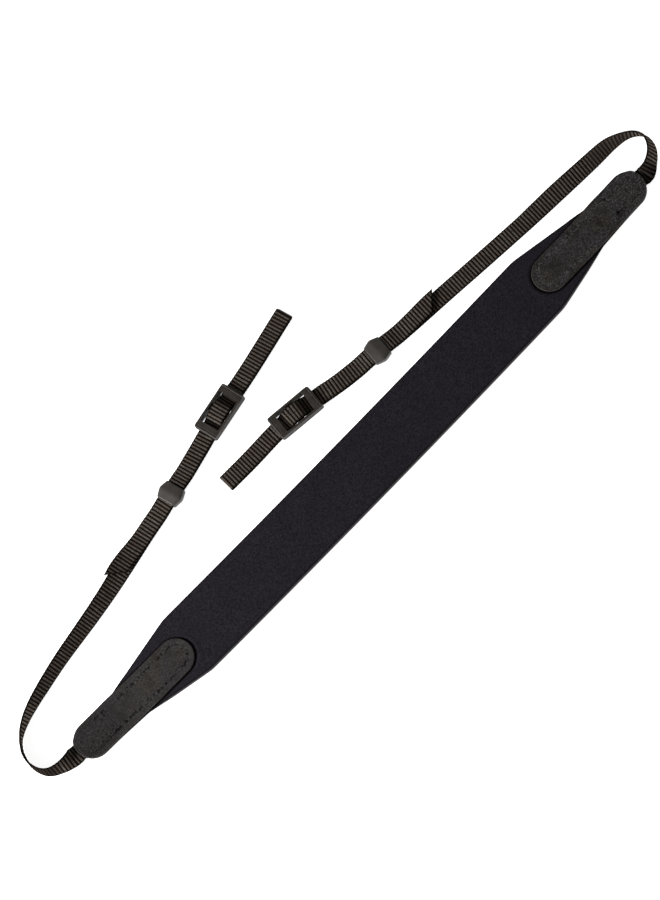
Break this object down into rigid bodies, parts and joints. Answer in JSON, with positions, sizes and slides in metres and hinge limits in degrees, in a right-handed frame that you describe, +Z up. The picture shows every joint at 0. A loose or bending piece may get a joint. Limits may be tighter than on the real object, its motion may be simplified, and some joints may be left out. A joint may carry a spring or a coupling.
{
  "type": "camera neck strap",
  "caption": "Padded neck strap with leather tabs and narrow ribbed webbing ends, each folded back through a keeper and a sliding buckle, lying flat.",
  "frame": {"origin": "centre of the neck pad's underside, on the table that the strap lies on", "axes": "+X along the neck pad, +Y towards the side where the two strap ends lie, +Z up from the table"},
  "size_m": [0.4758, 0.1196, 0.0106],
  "materials": {
    "neoprene": "matte knit over foam",
    "leather": "matte, fine grain",
    "webbing": "ribbed weave",
    "plastic": "satin moulded"
  },
  "bodies": {
    "root": {"pad": "neoprene", "tab_back_right": "leather", "tab_front_right": "leather", "webbing_right": "webbing", "buckle_right": "plastic", "keeper_right": "plastic", "tab_back_left": "leather", "tab_front_left": "leather", "webbing_left": "webbing", "buckle_left": "plastic", "keeper_left": "plastic"}
  },
  "joints": []
}
